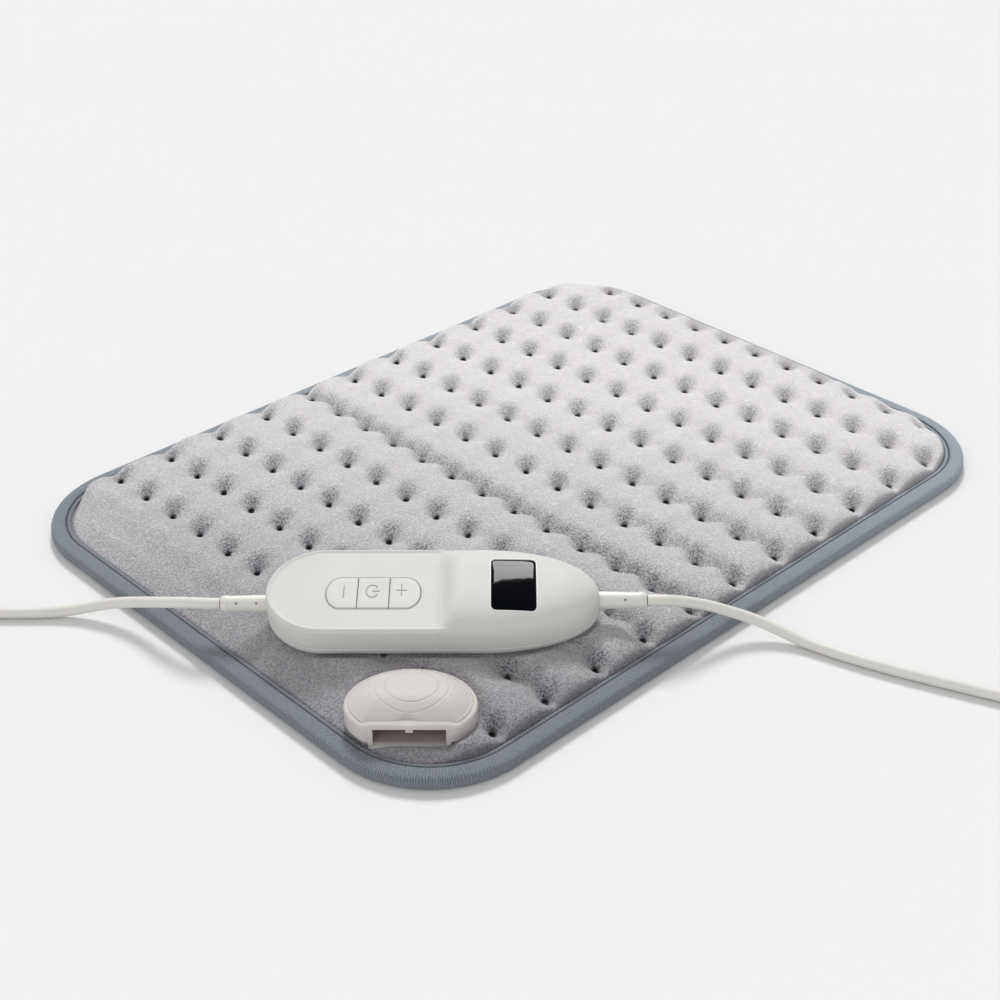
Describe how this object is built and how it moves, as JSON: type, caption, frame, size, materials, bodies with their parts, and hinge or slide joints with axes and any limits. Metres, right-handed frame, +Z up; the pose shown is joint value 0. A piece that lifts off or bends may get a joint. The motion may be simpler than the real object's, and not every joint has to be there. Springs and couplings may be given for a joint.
{
  "type": "heating pad with controller",
  "caption": "Rectangular plush heating pad lying flat, with a bound edge, a plug-in socket near one corner, and a hand controller with display and keys resting on it.",
  "frame": {"origin": "middle of the pad, on the surface it lies on", "axes": "+X along the pad's long side, away from the corner with the socket; +Y along its short side, away from that corner; +Z up"},
  "size_m": [0.5126, 0.5438, 0.0374],
  "materials": {
    "plush": "short soft pile, tufted",
    "backing": "smooth woven",
    "felt": "matt",
    "binding": "ribbed knit",
    "wire": "matt",
    "casing": "fine satin",
    "keys": "satin",
    "window": "polished",
    "socket": "matt",
    "cord": "satin",
    "board": "matt",
    "dark": "matt",
    "blue": "matt",
    "steel": "plain",
    "brass": "plain"
  },
  "bodies": {
    "pad_and_controller": {"pad_top_cover": "plush", "pad_bottom_cover": "backing", "wire_carrier": "felt", "edge_binding": "binding", "heating_wire": "wire", "inlet_top_shell": "casing", "inlet_base": "casing", "socket_insert": "socket", "contact_pin_1": "brass", "contact_pin_2": "brass", "contact_pin_3": "brass", "contact_pin_4": "brass", "thermal_cutout": "dark", "inlet_screw_left": "steel", "inlet_screw_right": "steel", "controller_top_shell": "casing", "controller_bottom_shell": "casing", "shell_screw_1": "steel", "shell_screw_2": "steel", "shell_screw_3": "steel", "shell_screw_4": "steel", "display_window": "window", "circuit_board": "board", "display_module": "dark", "relay": "blue", "filter_capacitor": "dark", "board_fuse": "steel", "tact_switch_minus": "dark", "tact_switch_power": "dark", "tact_switch_plus": "dark", "strain_relief_left": "cord", "strain_relief_right": "cord", "mains_cord": "cord", "mains_cord_coil": "cord", "mains_plug": "cord", "plug_pin_left": "steel", "plug_pin_right": "steel", "pad_lead": "cord", "pad_lead_coil": "cord", "connector_plug": "cord"},
    "minus_key": {"button_minus": "keys"},
    "power_key": {"button_power": "keys"},
    "plus_key": {"button_plus": "keys"}
  },
  "joints": [
    {"name": "minus_press", "type": "slide", "parent": "pad_and_controller", "child": "minus_key", "axis": [0.1085, 0.1127, -0.9877], "range_m": [0, 0.0008], "stiffness_N_per_m": 1500},
    {"name": "power_press", "type": "slide", "parent": "pad_and_controller", "child": "power_key", "axis": [0.1085, 0.1127, -0.9877], "range_m": [0, 0.0008], "stiffness_N_per_m": 1500},
    {"name": "plus_press", "type": "slide", "parent": "pad_and_controller", "child": "plus_key", "axis": [0.1085, 0.1127, -0.9877], "range_m": [0, 0.0008], "stiffness_N_per_m": 1500}
  ]
}
